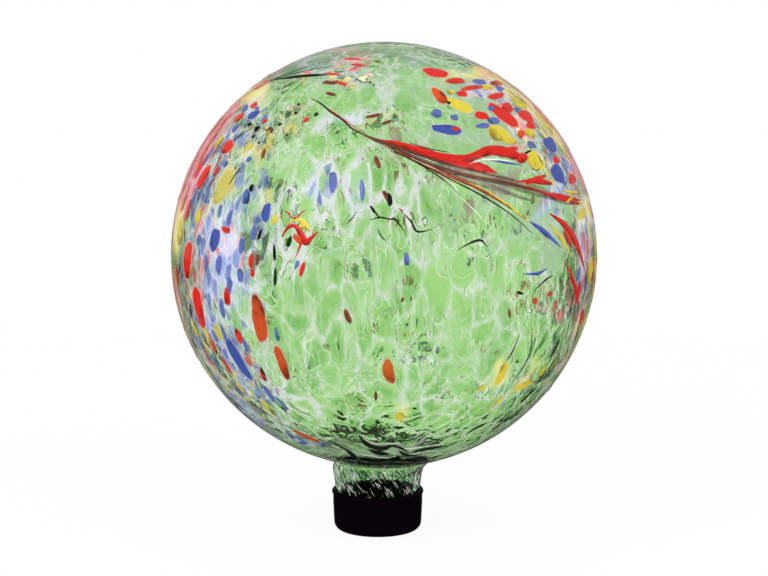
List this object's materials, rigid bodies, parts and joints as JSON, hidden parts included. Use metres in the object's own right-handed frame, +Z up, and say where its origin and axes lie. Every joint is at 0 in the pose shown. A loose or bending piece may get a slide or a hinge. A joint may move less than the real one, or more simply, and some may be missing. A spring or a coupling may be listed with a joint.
{
  "type": "garden gazing ball",
  "caption": "Hollow blown glass globe with fused coloured frit and pulled threads, its short open neck closed by a push-on rubber cap that serves as a foot.",
  "frame": {"origin": "middle of the flat underside of the rubber cap, on the axis of the neck", "axes": "+Z up along the neck through the globe, -Y towards the pictured front, +X to its right"},
  "size_m": [0.254, 0.254, 0.295],
  "materials": {
    "globe_glass": "glossy green crackled glass, rippled inside",
    "black_rubber": "satin black rubber",
    "red_glass": "glossy fused coloured glass",
    "yellow_glass": "glossy fused coloured glass",
    "blue_glass": "glossy fused coloured glass",
    "brown_glass": "glossy fused coloured glass",
    "amber_glass": "glossy fused coloured glass",
    "dark_glass": "glossy fused coloured glass"
  },
  "bodies": {
    "cap": {"rubber_cap": "black_rubber"},
    "globe": {"blue_chip_1": "blue_glass", "blue_chip_10": "blue_glass", "blue_chip_11": "blue_glass", "blue_chip_12": "blue_glass", "blue_chip_13": "blue_glass", "blue_chip_2": "blue_glass", "blue_chip_3": "blue_glass", "blue_chip_4": "blue_glass", "blue_chip_5": "blue_glass", "blue_chip_6": "blue_glass", "blue_chip_7": "blue_glass", "blue_chip_8": "blue_glass", "blue_chip_9": "blue_glass", "crown_thread": "dark_glass", "feather_amber_thread": "amber_glass", "feather_brown_thread": "brown_glass", "feather_dark_thread": "dark_glass", "feather_red_thread": "red_glass", "feather_stem": "dark_glass", "glass_globe": "globe_glass", "red_chip_1": "red_glass", "red_chip_10": "red_glass", "red_chip_11": "red_glass", "red_chip_12": "red_glass", "red_chip_13": "red_glass", "red_chip_14": "red_glass", "red_chip_15": "red_glass", "red_chip_16": "red_glass", "red_chip_17": "red_glass", "red_chip_18": "red_glass", "red_chip_2": "red_glass", "red_chip_3": "red_glass", "red_chip_4": "red_glass", "red_chip_5": "red_glass", "red_chip_6": "red_glass", "red_chip_7": "red_glass", "red_chip_8": "red_glass", "red_chip_9": "red_glass", "swirl_blue_thread": "blue_glass", "swirl_red_thread": "red_glass", "swirl_yellow_thread": "yellow_glass", "yellow_chip_1": "yellow_glass", "yellow_chip_10": "yellow_glass", "yellow_chip_11": "yellow_glass", "yellow_chip_12": "yellow_glass", "yellow_chip_13": "yellow_glass", "yellow_chip_14": "yellow_glass", "yellow_chip_2": "yellow_glass", "yellow_chip_3": "yellow_glass", "yellow_chip_4": "yellow_glass", "yellow_chip_5": "yellow_glass", "yellow_chip_6": "yellow_glass", "yellow_chip_7": "yellow_glass", "yellow_chip_8": "yellow_glass", "yellow_chip_9": "yellow_glass"}
  },
  "joints": [
    {"name": "globe_lift", "type": "slide", "parent": "cap", "child": "globe", "axis": [0, 0, 1], "range_m": [0, 0.035]}
  ]
}
